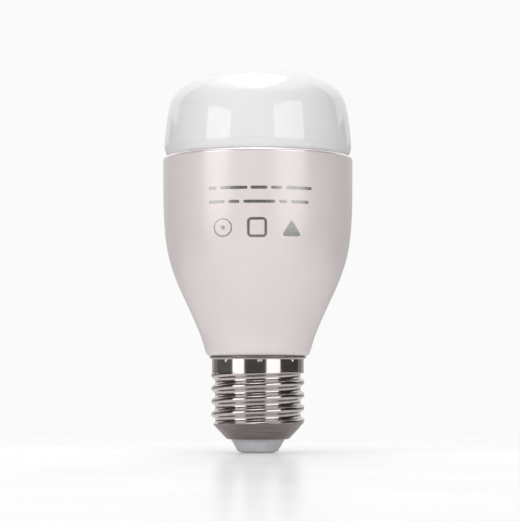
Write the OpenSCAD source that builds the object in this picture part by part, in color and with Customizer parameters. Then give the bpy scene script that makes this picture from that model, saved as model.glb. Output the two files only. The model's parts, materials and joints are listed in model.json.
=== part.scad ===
// Smart light bulb on an E27 screw cap, made of the pieces it comes apart into.
// It is built round the Z axis, +Z up, and stands on its centre contact at Z = 0.
// The front of the bulb faces -Y. The driver board stands in a plane parallel to XZ.

/* [Overall] */
// Height from the centre contact's face to the crown of the dome
bulb_h = 109.5; // [108.5:0.5:112]
// Outside diameter of the housing at its rim
housing_d = 53.7; // [53.5:0.1:54.5]
// Height of the housing's rim
rim_z = 83.5; // [83:0.1:84]

/* [Diffuser dome] */
// Largest diameter of the dome
dome_d = 53.4; // [53:0.1:53.5]
// Wall thickness of the dome
dome_wall = 1.4; // [1.2:0.1:1.6]
// Radius of the dome's slightly bowed side
dome_side_r = 78; // [74:1:84]
// Lean of the side where the shoulder starts, in degrees
dome_lean = 11; // [10:0.5:12]
// Radius of the dome's shoulder
dome_shoulder_r = 9.4; // [8.8:0.1:10]
// Radius of the edge that tucks in above the housing
dome_edge_r = 4.8; // [4.4:0.1:5.2]

/* [Housing] */
// Wall thickness of the housing
housing_wall = 1.3; // [1.2:0.1:1.4]
// Height of the waist, where the outline turns from hollow to round
waist_z = 43.6; // [43:0.1:44.5]
// Radius of the waist
waist_r = 20.9; // [20.8:0.1:21.3]
// Rounding of the housing's lower edge
foot_r = 1.3; // [1.1:0.1:1.4]

/* [Screw cap] */
// Radius of the thread's crest
crest_r = 13.1; // [13.03:0.01:13.2]
// Distance between two turns of the thread
thread_pitch = 3.629; // [3.62:0.001:3.64]
// Radius of the round crests and roots
thread_round_r = 1.025; // [1.02:0.001:1.03]
// Radius of the smooth skirt above the thread
skirt_r = 12.95; // [12.9:0.01:13]
// Radius of the turned-out lip under the housing
lip_r = 13.6; // [13.5:0.05:13.7]
// Thickness of the cap's sheet metal
sheet = 0.35; // [0.32:0.01:0.36]
// Number of crimps round the skirt
crimp_count = 8; // [4:1:12]
// Radius of the centre contact
contact_r = 4.8; // [4.6:0.1:5]

/* [Light engine] */
// Radius of the light engine's circuit board
led_board_r = 21.5; // [21:0.1:22]
// Number of LEDs on the ring, half of them warm and half cool
led_count = 20; // [12:2:24]
// Radius of the ring of LEDs
led_ring_r = 17.5; // [17.4:0.1:18.5]
// Number of screws that hold the board down
screw_count = 3; // [3:1:3]

/* [Driver] */
// Thickness of the driver board
board_t = 1; // [0.8:0.1:1.2]
// Half the driver board's width above the neck
board_half_w = 12.3; // [12:0.1:12.4]
// Radius of the large input capacitor
input_cap_r = 5; // [4.6:0.1:5]
// Radius of the output capacitor
output_cap_r = 4; // [3.6:0.1:4]

/* [Hidden] */
$fn = 72;

gap = 0.05;                          // clearance between pieces that fit together

// Dome
edge_z = rim_z + 0.12;               // lower edge of the dome, just clear of the rim
dome_foot_z = rim_z - 2.5;           // bottom of the ring that plugs into the housing
dome_foot_r = 25.2;                  // outside of that ring
dome_foot_t = 1.25;                  // and its thickness
side_cx = dome_d / 2 - dome_side_r;
side_cz = rim_z - 0.6;
shoulder_cx = side_cx + (dome_side_r - dome_shoulder_r) * cos(dome_lean);
shoulder_cz = side_cz + (dome_side_r - dome_shoulder_r) * sin(dome_lean);
shoulder_rise = bulb_h - shoulder_cz;
crown_r = (pow(shoulder_cx, 2) + pow(shoulder_rise, 2) - pow(dome_shoulder_r, 2))
          / (2 * (shoulder_rise - dome_shoulder_r));
crown_cz = bulb_h - crown_r;
crown_a = atan2(shoulder_cz - crown_cz, shoulder_cx);
edge_a = 2.9;                        // where the tucked edge meets the side
edge_cx = side_cx + (dome_side_r - dome_edge_r) * cos(edge_a);
edge_cz = side_cz + (dome_side_r - dome_edge_r) * sin(edge_a);

// Housing
housing_r = housing_d / 2;
housing_z = 27.2;                    // underside of the housing
housing_floor_z = 28.7;              // inside of its floor
housing_hole_r = 12.6;               // the neck comes up through this hole
foot_a = -18;                        // slope of the wall above the rounded foot
foot_cx = 13.44;
foot_cz = housing_z + foot_r;
waist_slope = 0.469;
full_z = 80;                         // the housing is cylindrical above this height
rim_round = 0.9;                     // up to the rim's rounded outer corner

// Screw cap
thread_z = 8.95;                     // a crest passes +X at this height
thread_depth = 2 * (thread_round_r - sqrt(pow(thread_round_r, 2) - pow(thread_pitch / 4, 2)));
cone_slope = 0.945;
cone_z = 3.95;                       // lower edge of the cone
cone_r = 8.85;
cap_hole_r = 8.0;                    // hole in the bottom of the cone
cone_top_z = 6.5;                    // the threaded band starts here
band_top_z = 23.0;                   // and ends here
blend_z = 22.0;                      // the thread fades into the skirt from this height
blend_end_z = 22.5;                  // to this one
runout_a = 1080;                     // the last groove starts to run out at this turn angle
runout_sweep = 120;
cap_top_z = 27.1;
crimp_z = 25.75;
crimp_r = 0.75;
crimp_depth = 0.25;
crimp_c = skirt_r - crimp_depth + crimp_r;  // the round punches are centred on this radius
crimp_first_a = -87.5;
seam = 0.05;                         // the faceted band lies this far inside the smooth walls
band_sides = 54;
rows_per_pitch = 8;

// Neck and casing
neck_r = 11.55;
neck_z = 8.2;
neck_wall = 1.2;
collar_r = 12.4;
casing_r = 14.4;
casing_flare_z = 35;
casing_top_z = 74;

// Light engine stack
cup_wall = 1.0;
cup_z = 36;
cup_top_z = rim_z - 2.9;
spreader_t = 1.5;
spreader_z = rim_z - 7.1;
pad_z = spreader_z + spreader_t;
pad_t = 0.3;
led_board_z = pad_z + pad_t;
led_board_t = 1.2;
led_z = led_board_z + led_board_t;
led_h = 0.7;
screw_ring_r = 13.2;

// Driver board
board_front_y = -2.5;                // through-hole parts stand on this face
board_back_y = board_front_y - board_t;
board_z0 = 13;
board_z1 = 72;
stand_off = 0.2;

// Pins from the driver board to the light engine
pin_pitch = 2.54;
pin_count = 4;
pin_w = 0.64;
pin_z0 = 67.3;
pin_x = 2.6;
pin_y = board_back_y - pin_w / 2;

// Wireless module
module_w = 15;
module_t = 0.8;
module_y = -9.2;                     // its outer face
module_z0 = 60.5;
module_z1 = 87.5;

// Through-hole joints on the driver board, as [x, z]
joints = [[-2.5, 30.2], [2.5, 30.2],        // input capacitor
          [-8.7, 32.6], [-0.3, 32.6],       // fusible resistor
          [3.6, 32.8], [6.8, 32.8],         // varistor
          [-9.4, 40.2], [-1.8, 40.2],       // film capacitor
          [3.1, 40.2], [8.1, 40.2],         // line inductor
          [-4.5, 46.6], [0, 46.6], [4.5, 46.6],
          [-4.5, 60.4], [0, 60.4], [4.5, 60.4],
          [-7.6, 63.6], [-4.4, 63.6],       // safety capacitor
          [-6, 68.6], [-4, 68.6],           // supply capacitor
          [3.75, 62.2], [6.25, 62.2],       // output capacitor
          [-6, 17], [6, 17]];               // mains wires
lead_r = 0.35;
hole_r = 0.42;

// Routes of the two mains wires
live_route = [[0, 0, 4], [0, 0, 6], [0.3, -0.1, 8.4], [1.6, -0.5, 10.4], [3.6, -1.0, 11.8],
              [5.3, -1.3, 13.4], [6, -1.5, 15.2], [6, -1.7, 16.8]];
neutral_route = [[-10.95, 0, 13.6], [-10.95, 0, 11.6], [-10.6, 0, 10.7], [-9.8, -0.1, 10.3],
                 [-8.6, -0.4, 10.6], [-7.2, -0.9, 12], [-6.3, -1.3, 13.6], [-6, -1.5, 15.2],
                 [-6, -1.7, 16.8]];
wire_r = 0.6;

// ---- Shared shapes ----

function arc(cx, cz, r, a0, a1, n) =
    [for (i = [0:n]) let(a = a0 + (a1 - a0) * i / n) [cx + r * cos(a), cz + r * sin(a)]];

function bezier(p0, p1, p2, p3, n) =
    [for (i = [0:n]) let(t = i / n, s = 1 - t)
        pow(s, 3) * p0 + 3 * s * s * t * p1 + 3 * s * t * t * p2 + pow(t, 3) * p3];

function reversed(list) = [for (i = [len(list) - 1:-1:0]) list[i]];

function smoothstep(a, b, x) =
    let(t = max(0, min(1, (x - a) / (b - a)))) t * t * (3 - 2 * t);

function unit(v) = v / norm(v);

module ring_of(count, r, start = 0) {
    for (i = [0:count - 1]) rotate([0, 0, start + 360 * i / count]) translate([r, 0, 0]) children();
}

// A round wire swept along its route; across is any direction that the route never follows.
module wire(route, r, across = [0, 1, 0], sides = 8) {
    last = len(route) - 1;
    rings = [for (i = [0:last]) let(
        along = unit(route[min(i + 1, last)] - route[max(i - 1, 0)]),
        u = unit(cross(along, across)),
        v = cross(along, u))
        for (k = [0:sides - 1]) route[i] + r * (u * cos(360 * k / sides) + v * sin(360 * k / sides))];
    walls = [for (i = [0:last - 1], k = [0:sides - 1]) let(k1 = (k + 1) % sides)
        [i * sides + k, i * sides + k1, (i + 1) * sides + k1, (i + 1) * sides + k]];
    caps = [[for (k = [sides - 1:-1:0]) k], [for (k = [0:sides - 1]) last * sides + k]];
    polyhedron(points = rings, faces = concat(walls, caps), convexity = 4);
}

// ---- Dome ----

function dome_arcs(inset) = concat(
    arc(side_cx, side_cz, dome_side_r - inset, edge_a, dome_lean, 8),
    arc(shoulder_cx, shoulder_cz, dome_shoulder_r - inset, dome_lean, crown_a, 14),
    [for (p = arc(0, crown_cz, crown_r - inset, crown_a, 90, 12)) [max(p[0], 0), p[1]]]);

module diffuser_dome() {
    first_a = asin((edge_z - edge_cz) / dome_edge_r);
    outer = concat([[dome_foot_r, dome_foot_z], [dome_foot_r, edge_z]],
                   arc(edge_cx, edge_cz, dome_edge_r, first_a, edge_a, 7),
                   dome_arcs(0));
    inner = concat([[dome_foot_r - dome_foot_t, dome_foot_z],
                    [dome_foot_r - dome_foot_t, edge_z + 0.6]],
                   dome_arcs(dome_wall));
    color("white", 0.85) rotate_extrude($fn = 96) polygon(concat(outer, reversed(inner)));
}

module dome_sealant() {
    wall_in = housing_r - housing_wall;
    bed_z = cup_top_z + gap;
    color("gainsboro")
        rotate_extrude()
        polygon([[dome_foot_r - dome_foot_t, bed_z], [wall_in - gap, bed_z],
                 [wall_in - gap, rim_z - 0.6], [dome_foot_r + gap, rim_z - 0.4],
                 [dome_foot_r + gap, dome_foot_z - gap],
                 [dome_foot_r - dome_foot_t, dome_foot_z - gap]]);
}

// ---- Housing ----

function housing_outline() =
    let(foot = arc(foot_cx, foot_cz, foot_r, -90, foot_a, 6),
        start = foot[len(foot) - 1],
        slope = -tan(foot_a),
        waist = [waist_r, waist_z],
        lower = bezier(start, start + 4 * [slope, 1], waist - 12 * [waist_slope, 1], waist, 14),
        upper = bezier(waist, waist + 11.2 * [waist_slope, 1], [housing_r, full_z - 20.7],
                       [housing_r, full_z], 18))
    concat(foot, [for (i = [1:14]) lower[i]], [for (i = [1:18]) upper[i]]);

module housing_shell() {
    outline = housing_outline();
    inside = [for (p = outline) if (p[1] > housing_floor_z + 0.3) [p[0] - housing_wall, p[1]]];
    color("mistyrose")
        rotate_extrude($fn = 96)
        polygon(concat(outline,
                       arc(housing_r - rim_round, rim_z - rim_round, rim_round, 0, 90, 6),
                       [[housing_r - housing_wall, rim_z]],
                       reversed(inside),
                       [[inside[0][0], housing_floor_z], [housing_hole_r, housing_floor_z],
                        [housing_hole_r, housing_z]]));
}

// ---- Screw cap ----

// Depth of the groove at a distance s from the crest, made of two round arcs
function groove(s) =
    s < thread_pitch / 4
    ? thread_round_r - sqrt(pow(thread_round_r, 2) - s * s)
    : thread_depth - thread_round_r
      + sqrt(pow(thread_round_r, 2) - pow(thread_pitch / 2 - s, 2));

function cone_at(z) = cone_r + cone_slope * (z - cone_z);

// Outside radius of the threaded band at an angle and a height
function thread_r(a, z) =
    let(turn = (z - thread_z) / thread_pitch - a / 360,
        index = floor(turn),
        part = turn - index,
        s = thread_pitch * min(part, 1 - part),
        depth = groove(s) * (1 - smoothstep(runout_a, runout_a + runout_sweep, 360 * index + a)),
        to_skirt = smoothstep(blend_z, blend_end_z, z))
    min(cone_at(z), (crest_r - depth) * (1 - to_skirt) + skirt_r * to_skirt) - seam;

// The rolled thread: a sheet of even thickness, so the inside follows the outside.
module threaded_band() {
    n = band_sides;
    rows = ceil((band_top_z - cone_top_z) / thread_pitch * rows_per_pitch);
    z_of = [for (j = [0:rows]) cone_top_z + (band_top_z - cone_top_z) * j / rows];
    outer = [for (j = [0:rows], i = [0:n - 1]) let(a = 360 * i / n, r = thread_r(a, z_of[j]))
        [r * cos(a), r * sin(a), z_of[j]]];
    inner = [for (j = [0:rows], i = [0:n - 1])
        let(a = 360 * i / n, r = thread_r(a, z_of[j]) - sheet + 2.4 * seam)
        [r * cos(a), r * sin(a), z_of[j]]];
    base = len(outer);
    function at(j, i) = j * n + i % n;
    faces = concat(
        [for (j = [0:rows - 1], i = [0:n - 1]) [at(j, i), at(j + 1, i), at(j + 1, i + 1)]],
        [for (j = [0:rows - 1], i = [0:n - 1]) [at(j, i), at(j + 1, i + 1), at(j, i + 1)]],
        [for (j = [0:rows - 1], i = [0:n - 1])
            [base + at(j, i), base + at(j + 1, i + 1), base + at(j + 1, i)]],
        [for (j = [0:rows - 1], i = [0:n - 1])
            [base + at(j, i), base + at(j, i + 1), base + at(j + 1, i + 1)]],
        [for (i = [0:n - 1]) [at(rows, i), base + at(rows, i), base + at(rows, i + 1), at(rows, i + 1)]],
        [for (i = [0:n - 1]) [at(0, i), at(0, i + 1), base + at(0, i + 1), base + at(0, i)]]);
    polyhedron(points = concat(outer, inner), faces = faces, convexity = 12);
}

module skirt() {
    skirt_z = band_top_z - 0.2;
    bump_r = crimp_r + sheet;
    difference() {
        union() {
            rotate_extrude()
                polygon([[skirt_r - sheet, skirt_z], [skirt_r, skirt_z], [skirt_r, 26.2],
                         [skirt_r + 0.15, 26.45], [lip_r, 26.6], [lip_r + 0.05, 26.85],
                         [lip_r - 0.1, cap_top_z], [skirt_r - sheet + 0.1, cap_top_z],
                         [skirt_r - sheet, 26.4]]);
            intersection() {
                ring_of(crimp_count, crimp_c, crimp_first_a) translate([0, 0, crimp_z]) sphere(r = bump_r);
                translate([0, 0, skirt_z]) cylinder(r = skirt_r - sheet / 2, h = 4);
            }
        }
        ring_of(crimp_count, crimp_c, crimp_first_a) translate([0, 0, crimp_z]) sphere(r = crimp_r);
    }
}

module cap_cone() {
    rotate_extrude()
        polygon([[cap_hole_r, 3.85], [cap_hole_r + 0.35, 3.8], [cone_r - 0.1, cone_z],
                 [cone_at(4.15), 4.15], [cone_at(cone_top_z + 0.15), cone_top_z + 0.15],
                 [cone_at(cone_top_z + 0.15) - sheet, cone_top_z + 0.15],
                 [cone_at(4.3) - sheet, 4.3], [cap_hole_r + 0.1, 4.2], [cap_hole_r, 4.15]]);
}

module screw_cap_shell() {
    color("silver") {
        skirt();
        threaded_band();
        cap_cone();
    }
}

module cap_insulator() {
    inset = sheet + 0.12;
    color("lightgray")
        rotate_extrude()
        polygon(concat(
            [[1.7, 0.3]],
            arc(5.25, 0.85, 0.55, -90, -30, 4),
            [[7.6, 3.75], [cap_hole_r - gap, 4.0], [cap_hole_r - gap, 4.35],
             [cone_at(4.6) - inset, 4.6], [cone_at(7) - inset, 7.0], [11.3, 7.6],
             [9.4, 7.6], [8, 5.8], [3.2, 5.8], [3.2, 7.4], [1.7, 7.4]]));
}

module centre_contact() {
    color("gold") {
        rotate_extrude()
            polygon([[0, 0], [contact_r - 0.15, 0], [contact_r, 0.12], [contact_r, 0.3],
                     [1.64, 0.3], [1.64, 7.2], [1.0, 7.2], [1.0, 1.0], [0, 1.0]]);
    }
}

// ---- Casing and heat sink ----

module driver_casing() {
    inner_r = neck_r - neck_wall;
    rail_w = 1.0;
    color("whitesmoke")
        difference() {
            union() {
                rotate_extrude()
                    polygon([[4, neck_z], [neck_r, neck_z], [neck_r, 22], [collar_r, 23.2],
                             [collar_r, 29.2], [13.2, 29.2], [casing_r, casing_flare_z],
                             [casing_r, casing_top_z], [casing_r - neck_wall, casing_top_z],
                             [casing_r - neck_wall, casing_flare_z], [12, 29.6],
                             [inner_r, 27], [inner_r, neck_z + 1.2], [4, neck_z + 1.2]]);
                // guide rails for the driver board
                for (side = [-1, 1], face = [board_front_y + 0.1, board_back_y - 0.1 - rail_w])
                    translate([side > 0 ? 10.9 : -13.5, face, casing_flare_z + 1])
                        cube([2.6, rail_w, 37]);
            }
            // recesses that the crimps press into
            ring_of(crimp_count, crimp_c, crimp_first_a)
                translate([0, 0, crimp_z]) sphere(r = crimp_r + sheet + gap);
            // notch where the neutral wire turns over the neck
            translate([-neck_r - 1, -0.9, 9.6]) cube([2.6, 1.8, 5]);
        }
}

module heat_sink_cup() {
    outline = housing_outline();
    above = [for (p = outline) if (p[1] > cup_z && p[1] < cup_top_z - 1) p[0] - housing_wall - 0.15];
    above_z = [for (p = outline) if (p[1] > cup_z && p[1] < cup_top_z - 1) p[1]];
    n = len(above) - 1;
    color("lightslategray")
        rotate_extrude()
        polygon(concat([for (i = [0:n]) [above[i], above_z[i]]],
                       [[above[n], cup_top_z], [above[n] - cup_wall, cup_top_z]],
                       [for (i = [n:-1:0]) [above[i] - cup_wall, above_z[i]]]));
}

module heat_spreader() {
    rim_r = housing_r - housing_wall - 0.15 - cup_wall - 0.15;
    color("silver")
        difference() {
            rotate_extrude()
                polygon([[0, spreader_z], [rim_r - 1.6, spreader_z], [rim_r - 1.2, spreader_z - 0.4],
                         [rim_r - 1.2, spreader_z - 4], [rim_r, spreader_z - 4],
                         [rim_r, spreader_z + spreader_t - 0.6],
                         [rim_r - 0.6, spreader_z + spreader_t], [0, spreader_z + spreader_t]]);
            board_slots(spreader_z - 1, spreader_t + 2, 0.5);
            screw_holes(spreader_z - 1, spreader_t + 2, 1.25);
        }
}

// Slots that the pins and the wireless module come up through
module board_slots(z, h, extra) {
    pin_slot_w = pin_count * pin_pitch + 0.6 + extra;
    translate([pin_x - pin_slot_w / 2, pin_y - 0.7 - extra / 2, z])
        cube([pin_slot_w, 1.4 + extra, h]);
    translate([-module_w / 2 - 0.3 - extra / 2, module_y - 0.4 - extra / 2, z])
        cube([module_w + 0.6 + extra, module_t + 0.8 + extra, h]);
}

module screw_holes(z, h, r) {
    ring_of(screw_count, screw_ring_r, 90) translate([0, 0, z]) cylinder(r = r, h = h);
}

module thermal_pad() {
    color("lightsteelblue")
        difference() {
            translate([0, 0, pad_z]) cylinder(r = led_board_r - 0.5, h = pad_t);
            board_slots(pad_z - 1, pad_t + 2, 0.8);
            screw_holes(pad_z - 1, pad_t + 2, 1.8);
        }
}

// ---- Light engine ----

module led_board() {
    color("white")
        difference() {
            translate([0, 0, led_board_z]) cylinder(r = led_board_r, h = led_board_t);
            board_slots(led_board_z - 1, led_board_t + 2, 0);
            screw_holes(led_board_z - 1, led_board_t + 2, 1.4);
        }
}

module led_packages() {
    color("ivory")
        difference() {
            ring_of(led_count, led_ring_r)
                translate([-1.4, -1.75, led_z]) cube([2.8, 3.5, led_h]);
            ring_of(led_count, led_ring_r)
                translate([0, 0, led_z + led_h - 0.3]) cylinder(r1 = 0.95, r2 = 1.15, h = 0.31);
        }
}

module phosphor(first) {
    for (i = [first:2:led_count - 1])
        rotate([0, 0, 360 * i / led_count])
        translate([led_ring_r, 0, led_z + led_h - 0.29])
        cylinder(r1 = 0.93, r2 = 1.11, h = 0.27);
}

module warm_phosphor() {
    color("orange") phosphor(0);
}

module cool_phosphor() {
    color("khaki") phosphor(1);
}

module led_board_screws() {
    color("silver")
        ring_of(screw_count, screw_ring_r, 90)
        difference() {
            union() {
                translate([0, 0, led_z]) cylinder(r1 = 2.3, r2 = 1.9, h = 1.5);
                translate([0, 0, spreader_z - 1.2]) cylinder(r = 1.2, h = led_z - spreader_z + 1.3);
            }
            for (turn = [0, 90])
                rotate([0, 0, turn]) translate([-1.3, -0.25, led_z + 0.7]) cube([2.6, 0.5, 2]);
        }
}

module board_socket() {
    w = pin_count * pin_pitch + 2;
    color("white")
        difference() {
            translate([pin_x - w / 2, pin_y - 2.4, led_z]) cube([w, 4.8, 4.2]);
            for (i = [0:pin_count - 1])
                translate([pin_at(i) - 0.45, pin_y - 0.45, led_z - 1]) cube([0.9, 0.9, 6]);
        }
}

// ---- Driver board and what stands on it ----

function pin_at(i) = pin_x + (i - (pin_count - 1) / 2) * pin_pitch;

module board_pins() {
    color("gold")
        for (i = [0:pin_count - 1])
            translate([pin_at(i) - pin_w / 2, pin_y - pin_w / 2, pin_z0])
                cube([pin_w, pin_w, led_z + 3.2 - pin_z0]);
}

module pin_strip() {
    w = pin_count * pin_pitch;
    color("dimgray")
        difference() {
            translate([pin_x - w / 2, pin_y - 1.2, 69]) cube([w, 1.2 + pin_w / 2, 2.5]);
            for (i = [0:pin_count - 1])
                translate([pin_at(i) - pin_w / 2 - 0.02, pin_y - pin_w / 2 - 0.02, 68])
                    cube([pin_w + 0.04, pin_w + 0.1, 5]);
        }
}

module driver_board() {
    outline = [[-9, board_z0], [9, board_z0], [9, 29.5], [board_half_w, casing_flare_z],
               [board_half_w, board_z1], [-board_half_w, board_z1],
               [-board_half_w, casing_flare_z], [-9, 29.5]];
    color("darkgreen")
        difference() {
            translate([0, board_front_y, 0]) rotate([90, 0, 0])
                linear_extrude(board_t) polygon(outline);
            for (p = joints)
                translate([p[0], board_front_y + 1, p[1]]) rotate([90, 0, 0])
                    cylinder(r = hole_r, h = board_t + 2, $fn = 24);
        }
}

// A can that lies along the board: aluminium inside a printed sleeve
module can(x, r, z, h) {
    translate([x, board_front_y + stand_off + r, z])
        rotate_extrude()
        polygon([[0, 0], [r - 0.6, 0], [r - 0.2, 0.3], [r - 0.2, h - 0.4], [r - 0.6, h], [0, h]]);
}

module sleeve(x, r, z, h) {
    translate([x, board_front_y + stand_off + r, z])
        rotate_extrude()
        polygon([[r - 0.15, 0.3], [r, 0.3], [r, h], [r - 1.0, h + 0.15], [r - 1.0, h + 0.05],
                 [r - 0.5, h + 0.05], [r - 0.15, h - 0.3]]);
}

module input_capacitor() {
    color("silver") can(0, input_cap_r, 14.5, 13.8);
}

module input_capacitor_sleeve() {
    color("saddlebrown") sleeve(0, input_cap_r, 14.5, 13.8);
}

module output_capacitor() {
    color("silver")
        translate([0, 0, 63.4]) can(5, output_cap_r, 0, 9);
}

module output_capacitor_sleeve() {
    color("darkslateblue") sleeve(5, output_cap_r, 63.4, 9);
}

module supply_capacitor() {
    color("darkslateblue")
        translate([-5, board_front_y + stand_off, 68.6]) rotate([-90, 0, 0])
        rotate_extrude()
        polygon([[0, 0], [2.2, 0], [2.5, 0.3], [2.5, 0.9], [2.3, 1.1], [2.5, 1.3], [2.5, 6.8],
                 [2.2, 7.1], [0, 7.1]]);
}

module film_capacitor() {
    color("goldenrod")
        translate([-10.6, board_front_y + stand_off, 36])
        difference() {
            cube([10, 5.2, 8.4]);
            for (corner = [0, 10]) translate([corner, 5.2, -1]) rotate([0, 0, 45])
                translate([-0.5, -0.5, 0]) cube([1, 1, 11]);
        }
}

disc_rise = 0.9;                     // a disc's rim stands this far above the board
safety_r = 2.9;
varistor_r = 3.2;

// Height at which the leads of a disc meet its rim
function disc_underside(r) = board_front_y + disc_rise + r - sqrt(r * r - 1.44);

module disc_part(x, z, r, t) {
    translate([x, board_front_y + disc_rise + r, z - t / 2])
        rotate_extrude()
        polygon([[0, 0], [r - 0.8, 0], [r, 0.8], [r, t - 0.8], [r - 0.8, t], [0, t]]);
}

module safety_capacitor() {
    color("steelblue") disc_part(-6, 63.6, safety_r, 2.4);
}

module varistor() {
    color("royalblue") disc_part(5.2, 32.8, varistor_r, 2.8);
}

module fusible_resistor() {
    color("darkseagreen")
        translate([-4.5, board_front_y + 1.6, 32.6]) rotate([0, 90, 0])
        rotate_extrude()
        polygon([[0, -3.3], [1.1, -3.3], [1.4, -2.9], [1.4, -1.9], [1.15, -1.6], [1.15, 1.6],
                 [1.4, 1.9], [1.4, 2.9], [1.1, 3.3], [0, 3.3]]);
}

module line_inductor_core() {
    color("dimgray")
        translate([5.6, board_front_y + stand_off, 40.2]) rotate([-90, 0, 0])
        rotate_extrude()
        polygon([[0, 0], [4.2, 0], [4.2, 1.1], [2, 1.1], [2, 6.3], [4.2, 6.3], [4.2, 7.4], [0, 7.4]]);
}

module line_inductor_winding() {
    turns = 7;
    step = 5 / turns;
    color("peru")
        translate([5.6, board_front_y + stand_off + 1.2, 40.2]) rotate([-90, 0, 0])
        rotate_extrude()
        polygon(concat([[2.05, 0]],
                       [for (i = [0:turns - 1], p = arc(3.55, step * (i + 0.5), step / 2, -90, 90, 4)) p],
                       [[2.05, 5]]));
}

transformer_y = 4;
transformer_z = 53.5;

module transformer_core() {
    color("darkslategray")
        translate([0, transformer_y, transformer_z])
        difference() {
            translate([-8, -2.5, -7]) cube([16, 5, 14]);
            for (side = [-1, 1])
                translate([side * 4 - 2, -3, -4.9]) cube([4, 6, 9.8]);
        }
}

module transformer_bobbin() {
    color("black")
        translate([0, transformer_y, transformer_z])
        difference() {
            union() {
                translate([-2.7, -3.2, -4.8]) cube([5.4, 6.4, 9.6]);
                for (end = [-4.8, 4])
                    translate([-5.7, -5.4, end]) cube([11.4, 10.8, 0.8]);
                // rails that carry the pins down to the board
                for (end = [-7.6, 6.2])
                    translate([-5.7, -6.2, end]) cube([11.4, 3, 1.4]);
                for (end = [-7.6, 4.2])
                    translate([-5.7, -6.2, end]) cube([11.4, 1.4, 3.4]);
            }
            translate([-2.05, -2.55, -8]) cube([4.1, 5.1, 16]);
        }
}

module transformer_winding() {
    color("gold")
        translate([0, transformer_y, transformer_z - 3.9])
        difference() {
            linear_extrude(7.8)
                difference() {
                    rounded_box(5.4, 5.1, 1.6);
                    square([5.5, 6.5], center = true);
                }
            translate([0, 0, 3.7]) linear_extrude(0.25)
                difference() {
                    square([12, 12], center = true);
                    rounded_box(5.25, 4.95, 1.5);
                }
        }
}

// Outline of a box with round corners, from its half sizes
module rounded_box(half_x, half_y, r) {
    square([2 * half_x, 2 * (half_y - r)], center = true);
    square([2 * (half_x - r), 2 * half_y], center = true);
    for (x = [-1, 1], y = [-1, 1])
        translate([x * (half_x - r), y * (half_y - r)]) circle(r = r, $fn = 32);
}

// A surface-mounted part on the back of the board, from its centre and size
module smd(x, z, w, d, h) {
    translate([x - w / 2, board_back_y - d, z - h / 2]) cube([w, d, h]);
}

// The same with a row of legs on its left and right sides
module legged(x, z, w, d, h, legs, pitch, reach) {
    smd(x, z, w, d, h);
    for (i = [0:legs - 1], side = [-1, 1])
        let(leg_z = z + (i - (legs - 1) / 2) * pitch) {
            translate([x + side * (w + reach) / 2 - reach / 2, board_back_y - d / 2 - 0.1, leg_z - 0.2])
                cube([reach, 0.2, 0.4]);
            translate([x + side * (w / 2 + reach) - 0.1, board_back_y - d / 2 - 0.1, leg_z - 0.2])
                cube([0.2, d / 2 + 0.1, 0.4]);
        }
}

module bridge_rectifier() {
    color("black") legged(0, 36.5, 4.7, 2.3, 4, 2, 2.54, 0.9);
}

module driver_chips() {
    color("black") {
        legged(-5, 53.5, 3.9, 1.5, 4.9, 4, 1.27, 0.8);
        legged(5, 53.5, 3.9, 1.5, 4.9, 4, 1.27, 0.8);
        legged(9, 66.6, 2.5, 1.5, 4.5, 2, 1.5, 0.5);
    }
}

module diodes() {
    color("black")
        for (x = [-7, 0, 7]) {
            smd(x, 43.4, 4.3, 2.2, 2.6);
            smd(x, 43.4, 5.2, 0.3, 1.4);
        }
}

module chip_resistors() {
    color("black") {
        for (x = [-10:2.5:10]) smd(x, 49.3, 1.25, 0.5, 2);
        for (x = [-6:3:6], z = [21, 25]) smd(x, z, 1.25, 0.5, 2);
    }
}

module chip_capacitors() {
    color("tan") {
        for (x = [-10:2.5:10]) smd(x, 57.6, 1.25, 0.8, 2);
    }
}

// Straight lead from a part down through the board
module lead(p, top_y) {
    translate([p[0], top_y, p[1]]) rotate([90, 0, 0])
        cylinder(r = lead_r, h = top_y - board_back_y, $fn = 24);
}

// Lead that leaves the end of a lying can and turns down into the board
module bent_lead(p, axis_y, body_z) {
    lead(p, axis_y);
    translate([p[0], axis_y, p[1]]) sphere(r = lead_r, $fn = 24);
    translate([p[0], axis_y, min(p[1], body_z)])
        cylinder(r = lead_r, h = abs(body_z - p[1]), $fn = 24);
}

module component_leads() {
    input_y = board_front_y + stand_off + input_cap_r;
    output_y = board_front_y + stand_off + output_cap_r;
    fuse_y = board_front_y + 1.6;
    color("lightgray") {
        for (i = [0, 1]) bent_lead(joints[i], input_y, 28.3);
        for (i = [20, 21]) bent_lead(joints[i], output_y, 63.4);
        for (i = [2, 3]) {
            inward = i == 2 ? 1 : -1;
            lead(joints[i], fuse_y);
            translate([joints[i][0], fuse_y, joints[i][1]]) sphere(r = lead_r, $fn = 24);
            translate([joints[i][0], fuse_y, joints[i][1]]) rotate([0, inward * 90, 0])
                cylinder(r = lead_r, h = 0.9, $fn = 24);
        }
        for (i = [4, 5]) lead(joints[i], disc_underside(varistor_r));
        for (i = [6, 7, 8, 9, 18, 19]) lead(joints[i], board_front_y + stand_off);
        for (i = [10:15]) lead(joints[i], transformer_y - 6.2);
        for (i = [16, 17]) lead(joints[i], disc_underside(safety_r));
    }
}

module solder_joints() {
    color("lightgray")
        for (p = joints)
            translate([p[0], board_back_y, p[1]]) rotate([90, 0, 0])
                cylinder(r1 = 0.85, r2 = 0.35, h = 0.7, $fn = 24);
}

// ---- Wireless module ----

module wireless_board() {
    color("darkblue")
        translate([-module_w / 2, module_y, module_z0])
        cube([module_w, module_t, module_z1 - module_z0]);
}

module wireless_shield() {
    color("silver")
        difference() {
            translate([-6, module_y - 2, 61.6]) cube([12, 2, 13]);
            translate([-5.8, module_y - 1.8, 61.8]) cube([11.6, 2, 12.6]);
        }
}

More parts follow.
